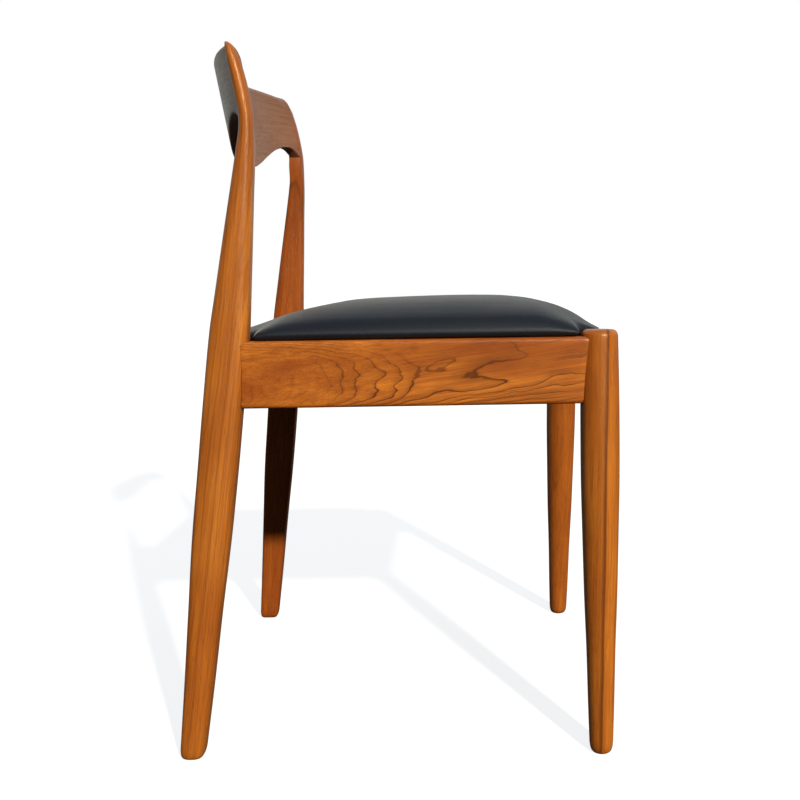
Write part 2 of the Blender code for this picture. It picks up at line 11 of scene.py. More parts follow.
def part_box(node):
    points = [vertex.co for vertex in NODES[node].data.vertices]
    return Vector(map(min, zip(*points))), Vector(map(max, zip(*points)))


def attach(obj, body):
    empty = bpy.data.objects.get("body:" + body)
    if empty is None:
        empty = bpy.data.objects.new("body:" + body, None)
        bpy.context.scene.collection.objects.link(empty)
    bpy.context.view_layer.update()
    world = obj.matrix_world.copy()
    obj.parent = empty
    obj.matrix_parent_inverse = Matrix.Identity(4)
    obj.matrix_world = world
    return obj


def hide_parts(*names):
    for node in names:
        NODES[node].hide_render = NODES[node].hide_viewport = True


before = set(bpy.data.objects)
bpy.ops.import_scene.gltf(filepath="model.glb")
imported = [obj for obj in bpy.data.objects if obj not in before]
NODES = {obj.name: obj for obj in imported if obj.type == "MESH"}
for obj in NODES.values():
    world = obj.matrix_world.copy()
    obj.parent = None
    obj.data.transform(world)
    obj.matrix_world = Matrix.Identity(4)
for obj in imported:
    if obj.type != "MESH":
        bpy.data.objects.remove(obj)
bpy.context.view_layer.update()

RIGHT, LEFT = -1, 1
SIDES = (("right", RIGHT), ("left", LEFT))
RAIL_BOTTOM, RAIL_TOP = (corner.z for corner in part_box("side_rail_right"))
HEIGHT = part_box("rear_leg_right")[1].z
FRONT_LEG_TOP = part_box("front_leg_right")[1].z

# The frame's shape, as in the CAD model
JOINT_GAP = 0.0003
RAIL_THICKNESS, RAIL_EDGE_RADIUS, RAIL_END_RADIUS = 0.022, 0.0045, 0.0022
SIDE_RAIL_OUTER_REAR, SIDE_RAIL_OUTER_FRONT = 0.2130, 0.2100
FRONT_RAIL_FACE, REAR_RAIL_FACE = 0.2300, -0.2010
FRONT_FOOT_ACROSS, FRONT_SPLAY_ACROSS = 0.2270, 0.0775
FRONT_FOOT_FORWARD, FRONT_RAKE = 0.2083, 0.0215
FRONT_LEG_TOP_RADIUS = 0.0065
FRONT_LEG_RADII = (  # height, radius
    (0.000, 0.0121),
    (0.045, 0.0137),
    (0.105, 0.0154),
    (0.160, 0.0176),
    (0.230, 0.0195),
    (0.285, 0.0208),
    (0.365, 0.0211),
    (0.430, 0.0203),
    (FRONT_LEG_TOP, 0.0200),
)
REAR_LEG_SHAPE = (  # height, back edge, front edge, inner side, outer side, squareness
    (0.0000, -0.2361, -0.2103, 0.2155, 0.2385, 2.6),
    (0.0765, -0.2317, -0.2009, 0.2093, 0.2341, 2.7),
    (0.1515, -0.2278, -0.1924, 0.2039, 0.2299, 2.8),
    (0.2265, -0.2239, -0.1831, 0.1987, 0.2258, 2.9),
    (0.3025, -0.2177, -0.1753, 0.1935, 0.2217, 3.0),
    (0.3625, -0.2129, -0.1700, 0.1896, 0.2186, 3.0),
    (0.4485, -0.2052, -0.1626, 0.1852, 0.2130, 2.9),
    (0.4915, -0.1990, -0.1612, 0.1833, 0.2099, 2.8),
    (0.5445, -0.1914, -0.1594, 0.1813, 0.2063, 2.6),
    (0.5965, -0.1837, -0.1579, 0.1791, 0.2025, 2.5),
    (0.6275, -0.1792, -0.1568, 0.1774, 0.2002, 2.4),
    (0.6505, -0.1760, -0.1566, 0.1740, 0.1984, 2.4),
    (0.6675, -0.1738, -0.1568, 0.1720, 0.1970, 2.4),
    (0.6855, -0.1741, -0.1580, 0.1720, 0.1957, 2.3),
    (0.7175, -0.1803, -0.1638, 0.1720, 0.1940, 2.2),
    (0.7445, -0.1862, -0.1713, 0.1720, 0.1926, 2.1),
    (0.7555, -0.1880, -0.1763, 0.1720, 0.1910, 2.0),
    (0.7620, -0.1888, -0.1802, 0.1720, 0.1885, 2.0),
    (HEIGHT, -0.1893, -0.1845, 0.1720, 0.1835, 2.0),
)
INNER_SQUARENESS, BESIDE_BACK_SQUARENESS = 3, 9
BESIDE_BACK = (0.643, 0.670)  # the heights between which a post's inner side turns flat
SIDE_RAIL_JOINT = REAR_LEG_SHAPE[5][2]
SIDE_RAIL_REAR_END, SIDE_RAIL_FRONT_END = -0.165, 0.195
FOOT_EASING = ((0.000, 0.0040), (0.0008, 0.0026), (0.003, 0.0011), (0.008, 0.0))
JOINT_ACROSS = 0.1720
BACK_LOW = 0.6495
BACK_TOP_MIDDLE, BACK_TOP_CREST, BACK_CREST_ACROSS = 0.7635, 0.7669, 0.1200
BACK_REAR_FACE, BACK_REAR_LEAN, BACK_REAR_RADIUS = -0.2112, 0.194, 0.370
BACK_INNER_FACE, BACK_INNER_LEAN, BACK_INNER_RADIUS = -0.1960, 0.200, 0.365
BACK_LOWER_EDGE = (  # distance from the middle, height
    (0.000, BACK_LOW),
    (0.030, 0.6515),
    (0.060, 0.6602),
    (0.090, 0.6728),
    (0.120, 0.6850),
    (0.145, 0.6905),
    (0.160, 0.6890),
    (JOINT_ACROSS, 0.6800),
)
BACK_TOP_ROUNDING_MIDDLE, BACK_TOP_ROUNDING_END = 0.008, 0.020
BACK_ROUNDING_START = 0.1400
BACK_TOP_LAND = 0.0043
BACK_LOWER_ARRIS = 0.0025
BACK_END_SLOPE = 0.5

# The cushion
SEAT_CENTRE = 0.015
SEAT_FRONT, SEAT_REAR = 0.2335, -0.1990
SEAT_SIDE_FRONT, SEAT_SIDE_REAR = 0.2085, 0.2105
FRONT_NOTCH_ACROSS, FRONT_NOTCH_FORWARD = 0.1695, 0.1960
REAR_NOTCH_ACROSS, REAR_NOTCH_FORWARD = 0.1815, -0.1590
SEAT_HALF_WIDTH, SEAT_HALF_DEPTH, SEAT_SQUARENESS = 0.202, 0.206, 5
CUSHION_GAP = 0.0008
CUSHION_ROLL = 0.0120
CUSHION_EDGE = 0.0085
CUSHION_BELLY = 0.45  # the height of the widest point of its side, as a share of the side
CUSHION_TUCK = 0.0030
CUSHION_SOFTENING = 0.16  # the share of its reach over which the notches fade inward
FRONT_CORNER_FALL, REAR_CORNER_FALL = 0.38, 0.35
FRONT_FALL_FORWARD, FRONT_FALL_ACROSS = (0.150, 0.215), (0.09, 0.17)
REAR_FALL_BACK, REAR_FALL_ACROSS = (0.130, 0.170), (0.12, 0.18)
BOARD_REACH, BOARD_CHAMFER = 0.92, 0.0016
CUSHION_PROFILE = (  # forward, height of the crown over the rails along the middle
    (SEAT_REAR, 0.0030),
    (-0.1910, 0.0052),
    (-0.1808, 0.0100),
    (-0.1681, 0.0142),
    (-0.1500, 0.0208),
    (-0.1322, 0.0270),
    (-0.1030, 0.0332),
    (-0.0710, 0.0371),
    (-0.0290, 0.0392),
    (0.0680, 0.0410),
    (0.1470, 0.0388),
    (0.1710, 0.0345),
    (0.1850, 0.0300),
    (0.2030, 0.0212),
    (0.2180, 0.0102),
    (0.2290, 0.0048),
    (SEAT_FRONT, 0.0025),
)

# The cloth under the seat
DUST_REACH = 0.85
DUST_CLEARANCE, DUST_THICKNESS, DUST_SAG, DUST_PUCKER = 0.0003, 0.0004, 0.0012, 0.0002
DUST_STAPLES, STAPLE_PLACE = 26, 0.965
STAPLE_HALF_WIDTH, STAPLE_THICKNESS = 0.0006, 0.0005
STAPLE_BEND = (  # distance along the staple, drop
    (-0.0052, -0.0006),
    (-0.0050, 0.0),
    (-0.0046, 0.0003),
    (0.0046, 0.0003),
    (0.0050, 0.0),
    (0.0052, -0.0006),
)

# The cushion's filling by simulation
VOXEL = 0.0045
CLOTH_FRAMES, CLOTH_PRESSURE = 16, 3.0
SWELL_CAP, SWELL_SMOOTHING = 0.0016, 40

# The wood's figure: where the middle of the growth rings, the pith, runs in each piece
GROWTH_RINGS = 330  # to a metre
LEG_PITHS = {  # forward and across of the leg's centre at the floor, and how much further for each metre up
    "front_right": (-0.1098, 0.0100, 0.0228, 0.0),
    "front_left": (-0.03, -0.05, 0.0, 0.02),
    "rear_right": (-0.0600, 0.0350, 0.015, 0.0),
    "rear_left": (0.0, -0.020, 0.0, 0.05),
}
SIDE_PITH_DEPTH, SIDE_PITH_DEEPENING = 0.012, 0.054
SIDE_PITH_DEEPENS = (-0.31, 0.04)
SIDE_PITH_SLOPE, SIDE_PITH_DROP = 0.13, 0.002
CROSS_PITH_DEPTH, CROSS_PITH_TURN, CROSS_PITH_DROP, CROSS_PITH_SLOPE = 0.050, 0.1, 0.03, 0.06
BACK_PITH_DEPTH, BACK_PITH_TURN, BACK_PITH_HEIGHT, BACK_PITH_SLOPE = 0.060, 0.02, 0.690, 0.05

# The stage
FLOOR_REACH, FLOOR_GREY, FLOOR_GLOW = 30, 0.30, 0.80
SUN_STRENGTH, SUN_SOFTNESS, SUN_COLOUR = 4.6, 2.5, (1.0, 0.93, 0.82)
TOWARDS_SUN = Vector((-1.0, -0.45, 0.594))
LENS, LENS_SHIFT = 46.125, (-0.068, -0.150)
CAMERA_PLACE, CAMERA_ROLL = Vector((-1.31, -0.0605, 0.4995)), 0.0148
NEAR_SKY = (  # height of the direction, from 0 straight down to 1 straight up, and colour
    (0.00, (0.015, 0.013, 0.011)),
    (0.50, (0.022, 0.021, 0.020)),
    (0.60, (0.055, 0.065, 0.080)),
    (0.80, (0.17, 0.21, 0.28)),
    (1.00, (0.32, 0.38, 0.48)),
)
FAR_SKY = (
    (0.00, (0.02, 0.02, 0.02)),
    (0.47, (0.10, 0.10, 0.095)),
    (0.52, (0.75, 0.78, 0.73)),
    (0.80, (0.55, 0.60, 0.64)),
    (1.00, (0.32, 0.38, 0.48)),
)
SKY_TURN = ((0.50, 0.0), (0.74, 1.0))  # where the near sky gives way to the far one, along X


# Shapes


def place(across, forward, up):
    """A point of the chair, from how far it is across, forward and up."""
    return Vector((across, -forward, up))


def ease(value, low, high):
    """0 below low, 1 above high, and a smooth step between them."""
    t = min(max((value - low) / (high - low), 0.0), 1.0)
    return t * t * (3 - 2 * t)


def spread(low, high, count):
    """Evenly spaced numbers from low to high, both included."""
    return [low + (high - low) * i / (count - 1) for i in range(count)]


def along(stations, position):
    """The values at a position, on a smooth curve through stations of (position, value, ...)."""
    last = len(stations) - 1
    position = min(max(position, stations[0][0]), stations[last][0])
    index = 0
    while index < last - 1 and position > stations[index + 1][0]:
        index += 1
    start, end = stations[index], stations[index + 1]
    before = stations[max(index - 1, 0)]
    after = stations[min(index + 2, last)]
    span = end[0] - start[0]
    t = (position - start[0]) / span
    values = []
    for column in range(1, len(start)):
        slope_in = (end[column] - before[column]) / (end[0] - before[0]) * span
        slope_out = (after[column] - start[column]) / (after[0] - start[0]) * span
        values.append(
            (2 * t**3 - 3 * t**2 + 1) * start[column]
            + (t**3 - 2 * t**2 + t) * slope_in
            + (3 * t**2 - 2 * t**3) * end[column]
            + (t**3 - t**2) * slope_out
        )
    return values


def squared(angle, power):
    """A point on a unit curve between a circle, power 2, and a square, a high power."""
    c, s = math.cos(angle), math.sin(angle)
    return math.copysign(abs(c) ** (2 / power), c), math.copysign(abs(s) ** (2 / power), s)


def finish_mesh(name, mesh, material, sharp=38):
    """An object for a mesh, smooth except over sharp edges, riding on the chair's one body."""
    mesh.shade_smooth()
    mesh.set_sharp_from_angle(angle=math.radians(sharp))
    mesh.materials.clear()
    mesh.materials.append(material)
    piece = bpy.data.objects.new(name, mesh)
    bpy.context.scene.collection.objects.link(piece)
    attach(piece, "root")
    return piece


def skin(builder, rings):
    """Adds a surface through rings of points, closed at both ends."""
    rows = [[builder.verts.new(point) for point in ring] for ring in rings]
    for lower, upper in zip(rows, rows[1:]):
        for i in range(len(lower)):
            j = (i + 1) % len(lower)
            builder.faces.new((lower[i], lower[j], upper[j], upper[i]))
    builder.faces.new(reversed(rows[0]))
    builder.faces.new(rows[-1])


def built_mesh(name, builder):
    """The mesh that a builder holds, with its faces turned outward."""
    bmesh.ops.recalc_face_normals(builder, faces=builder.faces)
    mesh = bpy.data.meshes.new(name)
    builder.to_mesh(mesh)
    builder.free()
    return mesh


def loft(name, rings, material, sharp, grain=None):
    """A closed piece through rings of points. grain gives each point its place in the wood."""
    builder = bmesh.new()
    skin(builder, rings)
    mesh = built_mesh(name, builder)
    if grain:
        set_grain(mesh, grain)
    return finish_mesh(name, mesh, material, sharp)


def set_grain(mesh, grain):
    """Stores each vertex's place in the wood: two ways sideways from the pith, and lengthwise."""
    layer = mesh.attributes.new("grain", "FLOAT_VECTOR", "POINT")
    values = []
    for vertex in mesh.vertices:
        values.extend(grain(vertex.co))
    layer.data.foreach_set("vector", values)


# Materials


class Nodes:
    """The nodes of a material or a world, and a short way to add to them."""

    def __init__(self, owner):
        owner.use_nodes = True
        self.owner = owner
        self.tree = owner.node_tree

    def add(self, kind, inputs=(), **settings):
        """A node, with its settings, and its inputs set to numbers or linked to sockets."""
        node = self.tree.nodes.new("ShaderNode" + kind)
        for key, value in settings.items():
            setattr(node, key, value)
        for key, value in dict(inputs).items():
            if isinstance(value, bpy.types.NodeSocket):
                self.tree.links.new(value, node.inputs[key])
            else:
                node.inputs[key].default_value = value
        return node

    def math(self, operation, first, second=0.0, third=0.0):
        """The result of a Math node."""
        inputs = {0: first, 1: second, 2: third}
        return self.add("Math", inputs, operation=operation).outputs[0]

    def stretch(self, vector, scale):
        """A vector multiplied by three numbers."""
        return self.add("VectorMath", {0: vector, 1: scale}, operation="MULTIPLY").outputs[0]

    def noise(self, vector, scale, detail=2.0, roughness=0.5, distortion=0.0):
        """A Noise texture."""
        inputs = {"Vector": vector, "Scale": scale, "Detail": detail}
        inputs.update({"Roughness": roughness, "Distortion": distortion})
        return self.add("TexNoise", inputs)

    def ramp(self, value, *stops):
        """A colour ramp through stops of (position, grey or colour)."""
        node = self.add("ValToRGB", {0: value})
        elements = node.color_ramp.elements
        while len(elements) < len(stops):
            elements.new(1.0)
        for element, (position, colour) in zip(elements, stops):
            element.position = position
            element.color = (*colour, 1) if isinstance(colour, tuple) else (colour, colour, colour, 1)
        return node.outputs[0]

    def mix(self, factor, first, second):
        """Two colours mixed."""
        colours = [(*c, 1) if isinstance(c, tuple) else c for c in (first, second)]
        inputs = {0: factor, 6: colours[0], 7: colours[1]}
        return self.add("Mix", inputs, data_type="RGBA").outputs[2]

    def bump(self, height, distance, strength=1.0, before=None):
        """A bump's normal, on top of another's."""
        inputs = {"Height": height, "Distance": distance, "Strength": strength}
        if before is not None:
            inputs["Normal"] = before
        return self.add("Bump", inputs).outputs[0]

    def set(self, **values):
        """The shader's own sockets: numbers set on them, and patterns linked to them."""
        shader = self.tree.nodes["Principled BSDF"]
        for key, value in values.items():
            socket = shader.inputs[key.replace("_", " ")]
            if isinstance(value, bpy.types.NodeSocket):
                self.tree.links.new(value, socket)
            else:
                socket.default_value = (*value, 1) if isinstance(value, tuple) else value
        return self.owner


def material_nodes(name):
    """A new material's nodes."""
    return Nodes(bpy.data.materials.new(name))


ORANGE, RUSSET, UMBER = (0.580, 0.188, 0.021), (0.390, 0.098, 0.010), (0.115, 0.026, 0.004)
# How dark a vein is, by the share of the way from one vein to the next
VEIN_PROFILE = ((0.0, 0.20), (0.10, 0.0), (0.30, 0.04), (0.86, 0.34), (0.93, 1.0), (0.97, 1.0), (1.0, 0.25))


def teak(name, light, deep, veins_as, wander=0.010, uneven=2.2, patchiness=0.9, gloss=0.38):
    """Oiled teak. Dark veins and growth rings run round the pith that the grain attribute is measured from.

    veins_as is how many veins there are to a metre, how strong they are, and a shift of their places.
    """
    vein_count, vein_strength, phase = veins_as
    m = material_nodes(name)
    grain = m.add("Attribute", attribute_name="grain").outputs["Vector"]
    drift = m.noise(m.stretch(grain, (1, 1, 0.25)), 13, 2.5).outputs["Color"]
    drift = m.add("VectorMath", {0: drift, 1: (0.5, 0.5, 0.5)}, operation="SUBTRACT").outputs[0]
    drift = m.stretch(drift, (2 * wander, 2 * wander, 0))
    moved = m.add("VectorMath", {0: grain, 1: drift}, operation="ADD").outputs[0]
    flat = m.stretch(moved, (1, 1, 0))
    radius = m.add("VectorMath", {0: flat}, operation="LENGTH").outputs["Value"]

    fibre = m.noise(m.stretch(grain, (1, 1, 0.016)), 900, 3, 0.6).outputs[0]
    streak = m.noise(m.stretch(grain, (1, 1, 0.03)), 210, 3, 0.55).outputs[0]
    pore = m.noise(m.stretch(grain, (1, 1, 0.045)), 1500, 1, 0.4).outputs[0]
    broad = m.noise(m.stretch(grain, (1, 1, 0.3)), 22, 2).outputs[0]

    fine_drift = m.noise(m.stretch(grain, (1, 1, 0.4)), 55, 2).outputs[0]
    radius = m.math("MULTIPLY_ADD", fine_drift, 0.35 * wander, radius)
    spacing = m.noise(m.add("CombineXYZ", {0: radius}).outputs[0], 70, 1).outputs[0]
    phased = m.math("MULTIPLY_ADD", spacing, uneven, phase)
    veins = m.math("FRACT", m.math("MULTIPLY_ADD", radius, vein_count, phased))
    veins = m.ramp(veins, *VEIN_PROFILE)
    patches = m.noise(m.stretch(grain, (1, 1, 0.5)), 16, 1).outputs[0]
    patchy = m.ramp(patches, (0.36, 1 - patchiness), (0.62, 1.0))
    veins = m.math("MULTIPLY", m.math("MULTIPLY", veins, patchy), vein_strength)
    rings = m.math("FRACT", m.math("MULTIPLY", radius, GROWTH_RINGS))
    rings = m.ramp(rings, (0.0, 0.15), (0.55, 0.0), (0.90, 0.75), (1.0, 0.15))
    rings = m.math("MULTIPLY", rings, m.ramp(streak, (0.35, 0.0), (0.7, 0.42)))

    base = m.mix(m.ramp(broad, (0.30, 0.0), (0.72, 1.0)), light, deep)
    base = m.mix(m.ramp(streak, (0.34, 0.0), (0.68, 0.70)), base, deep)
    base = m.mix(rings, base, UMBER)
    base = m.mix(veins, base, UMBER)
    base = m.mix(m.ramp(fibre, (0.40, 0.0), (0.75, 0.42)), base, UMBER)
    pores = m.ramp(pore, (0.60, 0.0), (0.70, 1.0))
    base = m.mix(m.math("MULTIPLY", pores, 0.30), base, tuple(0.5 * c for c in UMBER))

    roughness = m.math("MULTIPLY_ADD", fibre, 0.16, gloss - 0.08)
    roughness = m.math("MULTIPLY_ADD", pores, 0.12, roughness)
    normal = m.bump(fibre, 0.00022, 0.5)
    normal = m.bump(m.math("SUBTRACT", 1.0, pores), 0.00016, 0.6, normal)
    normal = m.bump(m.noise(m.stretch(grain, (1, 1, 0.35)), 60, 1).outputs[0], 0.0009, 0.25, normal)
    return m.set(
        Base_Color=base,
        Roughness=roughness,
        Normal=normal,
        Specular_IOR_Level=0.42,
        Specular_Tint=(1.0, 0.80, 0.55),
    )


def leather():
    """Smooth black upholstery leather with a fine pebbled grain, and faint stretch marks."""
    m = material_nodes("black_leather")
    place_in = m.add("TexCoord").outputs["Object"]
    wobble = m.noise(place_in, 260, 2).outputs["Color"]
    wobble = m.stretch(wobble, (0.0016, 0.0016, 0.0016))
    wobbled = m.add("VectorMath", {0: wobble, 1: place_in}, operation="ADD").outputs[0]
    cells = m.add("TexVoronoi", {"Vector": wobbled, "Scale": 900.0}, feature="DISTANCE_TO_EDGE").outputs[0]
    pebble = m.ramp(cells, (0.0, 0.0), (0.16, 0.8), (0.5, 1.0))
    creases = m.noise(m.stretch(place_in, (1, 0.35, 1)), 120, 4, 0.6, 0.8).outputs[0]
    handled = m.noise(place_in, 9, 2).outputs[0]
    colour = m.mix(m.ramp(handled, (0.3, 0.0), (0.7, 1.0)), (0.007, 0.0100, 0.016), (0.011, 0.0145, 0.021))
    # The leather is painted darker in the crevices between its pebbles: painted shade.
    colour = m.mix(pebble, (0.004, 0.006, 0.009), colour)
    roughness = m.math("MULTIPLY_ADD", handled, 0.12, 0.33)
    roughness = m.math("MULTIPLY_ADD", m.math("SUBTRACT", 1.0, pebble), 0.14, roughness)
    normal = m.bump(pebble, 0.00009, 0.55)
    normal = m.bump(creases, 0.0003, 0.12, normal)
    normal = m.bump(handled, 0.004, 0.10, normal)
    return m.set(
        Base_Color=colour,
        Roughness=roughness,
        Normal=normal,
        Specular_IOR_Level=0.23,
        Sheen_Weight=0.30,
        Sheen_Roughness=0.30,
        Sheen_Tint=(1.0, 0.95, 0.84),
    )


def beech():
    """Plain unfinished hardwood with small flecks."""
    m = material_nodes("beech")
    here = m.add("TexCoord").outputs["Object"]
    lines = m.noise(m.stretch(here, (1, 0.06, 1)), 420, 3, 0.6).outputs[0]
    flecks = m.ramp(m.noise(m.stretch(here, (1, 0.2, 1)), 700, 1).outputs[0], (0.60, 0.0), (0.68, 1.0))
    colour = m.mix(m.ramp(lines, (0.3, 0.0), (0.7, 1.0)), (0.56, 0.37, 0.21), (0.44, 0.27, 0.14))
    colour = m.mix(m.math("MULTIPLY", flecks, 0.4), colour, (0.28, 0.15, 0.07))
    normal = m.bump(lines, 0.0002, 0.5)
    return m.set(Base_Color=colour, Roughness=m.math("MULTIPLY_ADD", lines, 0.2, 0.5), Normal=normal)


def plywood():
    """A board of thin veneers: plies show on its edges and open grain on its faces."""
    m = material_nodes("plywood")
    here = m.add("TexCoord").outputs["Object"]
    up = m.add("SeparateXYZ", {0: here}).outputs[2]
    ply = m.math("FRACT", m.math("MULTIPLY", up, 900))
    plies = m.ramp(ply, (0.0, 0.0), (0.45, 0.0), (0.5, 1.0), (0.95, 1.0))
    grain = m.noise(m.stretch(here, (0.05, 1, 1)), 320, 4, 0.65).outputs[0]
    figure = m.noise(m.stretch(here, (0.2, 1, 1)), 30, 3, 0.5, 1.2).outputs[0]
    colour = m.mix(m.ramp(grain, (0.3, 0.0), (0.7, 1.0)), (0.60, 0.45, 0.28), (0.44, 0.30, 0.17))
    colour = m.mix(m.ramp(figure, (0.45, 0.0), (0.55, 0.35)), colour, (0.36, 0.22, 0.11))
    colour = m.mix(m.math("MULTIPLY", plies, 0.25), colour, (0.30, 0.18, 0.09))
    return m.set(Base_Color=colour, Roughness=0.72, Normal=m.bump(grain, 0.0003, 0.5))


def zinc():
    """Bright zinc plate with a faint passivated bloom."""
    m = material_nodes("zinc_steel")
    here = m.add("TexCoord").outputs["Object"]
    bloom = m.noise(here, 260, 3, 0.6).outputs[0]
    scratches = m.noise(m.stretch(here, (1, 1, 0.1)), 2600, 2).outputs[0]
    colour = m.mix(m.ramp(bloom, (0.35, 0.0), (0.65, 1.0)), (0.62, 0.62, 0.60), (0.54, 0.53, 0.46))
    roughness = m.math("MULTIPLY_ADD", scratches, 0.22, 0.22)
    return m.set(Base_Color=colour, Roughness=roughness, Normal=m.bump(scratches, 0.0001, 0.3), Metallic=1.0)


def dust_cloth():
    """Thin black non-woven cloth, with a fine crossed weave and a few light fibres."""
    m = material_nodes("dust_cloth")
    here = m.add("TexCoord").outputs["Object"]
    split = m.add("SeparateXYZ", {0: here})
    warp = m.math("SINE", m.math("MULTIPLY", split.outputs[0], 5200))
    weft = m.math("SINE", m.math("MULTIPLY", split.outputs[1], 5200))
    weave = m.math("MULTIPLY", warp, weft)
    lint = m.ramp(m.noise(m.stretch(here, (1, 0.2, 1)), 500, 2).outputs[0], (0.66, 0.0), (0.74, 1.0))
    colour = m.mix(m.ramp(weave, (0.0, 0.0), (1.0, 1.0)), (0.016, 0.016, 0.017), (0.032, 0.032, 0.034))
    colour = m.mix(m.math("MULTIPLY", lint, 0.25), colour, (0.12, 0.12, 0.12))
    return m.set(Base_Color=colour, Roughness=0.9, Normal=m.bump(weave, 0.0002, 0.5), Sheen_Weight=0.3)


MATERIALS = {
    "rear_right": teak("teak_rear_right", (0.57, 0.190, 0.022), (0.35, 0.088, 0.009), (140, 0.40, 0.2)),
    "rear_left": teak("teak_rear_left", (0.43, 0.105, 0.013), (0.27, 0.056, 0.007), (200, 0.6, 0.5), 0.006),
    # The front right leg's one strong vein is a real dark grain line. The broad darkening that its vein
    # profile spreads towards the leg's rear is painted shade of the leg's shaded side.
    "front_right": teak("teak_front_right", ORANGE, RUSSET, (30, 0.90, 0.717), 0.0022, 0.0, 0.1, 0.33),
    "front_left": teak("teak_front_left", (0.50, 0.140, 0.017), (0.34, 0.082, 0.009), (60, 0.4, 0.7)),
    "side_right": teak("teak_side_right", (0.64, 0.200, 0.022), (0.31, 0.068, 0.008), (330, 1.3, 0.1), 0.017),
    "rail": teak("teak_rail", (0.54, 0.156, 0.019), (0.35, 0.082, 0.009), (120, 0.6, 0.6), 0.012),
    # The backrest's teak is a greyer, bluer brown than the other pieces: painted reflection of the sky on its
    # faces, not a tone of the wood.
    "back": teak("teak_back", (0.300, 0.130, 0.062), (0.20, 0.082, 0.038), (90, 0.5, 0.0)),
}
LEATHER = leather()
BEECH = beech()
ZINC = zinc()


# Legs


FOOT_HEIGHTS = [0.0, 0.0004, 0.0012, 0.0025, 0.0045, 0.0065]
FRONT_LEG_POINTS, REAR_LEG_POINTS = 72, 80


def leg_grain(point, side, centre, pith, offset):
    """A leg point's place in the wood, from the leg's centre (across, forward) and the pith beside it."""
    across, forward = centre
    pith_forward, pith_across, drift_forward, drift_across = pith
    return (
        -point.y - forward - pith_forward - drift_forward * point.z,
        side * point.x - across - pith_across - drift_across * point.z,
        point.z + offset,
    )


def foot_easing(height):
    """How far a foot's edge is drawn in near the floor."""
    if height >= FOOT_EASING[-1][0]:
        return 0.0
    return along(FOOT_EASING, height)[0]


def front_leg_centre(height):
    """Where a front leg's centre line is across and forward."""
    return FRONT_FOOT_ACROSS - FRONT_SPLAY_ACROSS * height, FRONT_FOOT_FORWARD + FRONT_RAKE * height


def front_leg_radius(height):
    """A front leg's radius, with its foot eased and its top rounded over."""
    radius = along(FRONT_LEG_RADII, height)[0] - foot_easing(height)
    into_top = height - (FRONT_LEG_TOP - FRONT_LEG_TOP_RADIUS)
    if into_top > 0:
        radius -= FRONT_LEG_TOP_RADIUS - math.sqrt(max(FRONT_LEG_TOP_RADIUS**2 - into_top**2, 0.0))
    return radius


def add_front_leg(side_name, side):
    """A round tapered leg with its top edge rounded over."""
    rounding_start = FRONT_LEG_TOP - FRONT_LEG_TOP_RADIUS
    heights = FOOT_HEIGHTS + spread(0.010, rounding_start, 84)
    for turn in range(9, 91, 9):
        heights.append(FRONT_LEG_TOP - FRONT_LEG_TOP_RADIUS * (1 - math.sin(math.radians(turn))))
    rings = []
    for height in heights:
        across, forward = front_leg_centre(height)
        radius = front_leg_radius(height)
        ring = []
        for i in range(FRONT_LEG_POINTS):
            angle = 2 * math.pi * i / FRONT_LEG_POINTS
            point_across = side * (across + radius * math.cos(angle))
            ring.append(place(point_across, forward + radius * math.sin(angle), height))
        rings.append(ring)
    middle = place(side * across, forward, FRONT_LEG_TOP)
    edge = rings[-1]
    for share in (0.25, 0.5, 0.75, 0.95):
        rings.append([point.lerp(middle, share) for point in edge])

    pith = LEG_PITHS[f"front_{side_name}"]

    def grain(point):
        return leg_grain(point, side, front_leg_centre(point.z), pith, side)

    name = f"front_leg_{side_name}"
    leg = loft("turned_" + name, rings, MATERIALS[f"front_{side_name}"], 60, grain)
    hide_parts(name)


def rear_leg_section(height):
    """A rear leg's section: back, front, inner, outer, squareness, and how far it is beside the backrest."""
    back, front, inner, outer, power = along(REAR_LEG_SHAPE, height)
    return back, front, inner, outer, power, ease(height, *BESIDE_BACK)


def add_rear_leg(side_name, side):
    """A sculpted leg and post in one piece, with a flat inner side beside the backrest."""
    heights = FOOT_HEIGHTS + spread(0.010, 0.600, 80) + spread(0.604, 0.735, 50)
    heights += spread(0.737, 0.7635, 20) + [HEIGHT - 0.0012, HEIGHT - 0.0005, HEIGHT]
    rings = []
    for height in heights:
        back, front, inner, outer, power, beside_back = rear_leg_section(height)
        inset = foot_easing(height)
        half_across = (outer - inner) / 2 - inset
        half_deep = (front - back) / 2 - inset
        inner_power = power + INNER_SQUARENESS + beside_back * BESIDE_BACK_SQUARENESS
        ring = []
        for i in range(REAR_LEG_POINTS):
            angle = 2 * math.pi * (i + 0.5) / REAR_LEG_POINTS
            reach, depth = squared(angle, power if math.cos(angle) > 0 else inner_power)
            bend = -beside_back * BACK_END_SLOPE * half_across / 2 * min(reach, 0.0) ** 2
            across = (inner + outer) / 2 + half_across * reach
            ring.append(place(side * across, (front + back) / 2 + half_deep * depth + bend, height))
        rings.append(ring)

    pith = LEG_PITHS[f"rear_{side_name}"]

    def grain(point):
        back, front, inner, outer, _, _ = rear_leg_section(point.z)
        return leg_grain(point, side, ((inner + outer) / 2, (front + back) / 2), pith, 3 * side)

    name = f"rear_leg_{side_name}"
    leg = loft("sculpted_" + name, rings, MATERIALS[f"rear_{side_name}"], 50, grain)
    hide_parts(name)


# Backrest


def curve_depth(across, radius):
    """How far forward a circle's arc has come at a distance from its middle."""
    return radius - math.sqrt(radius**2 - across**2)


def back_rear_face(across, height):
    """Where the backrest's rear face is."""
    leaned = BACK_REAR_FACE - BACK_REAR_LEAN * (height - BACK_LOW)
    return leaned + curve_depth(across, BACK_REAR_RADIUS)


def back_inner_face(across, height):
    """Where the face that the sitter leans on is."""
    leaned = BACK_INNER_FACE - BACK_INNER_LEAN * (height - BACK_LOW)
    return leaned + curve_depth(across, BACK_INNER_RADIUS)


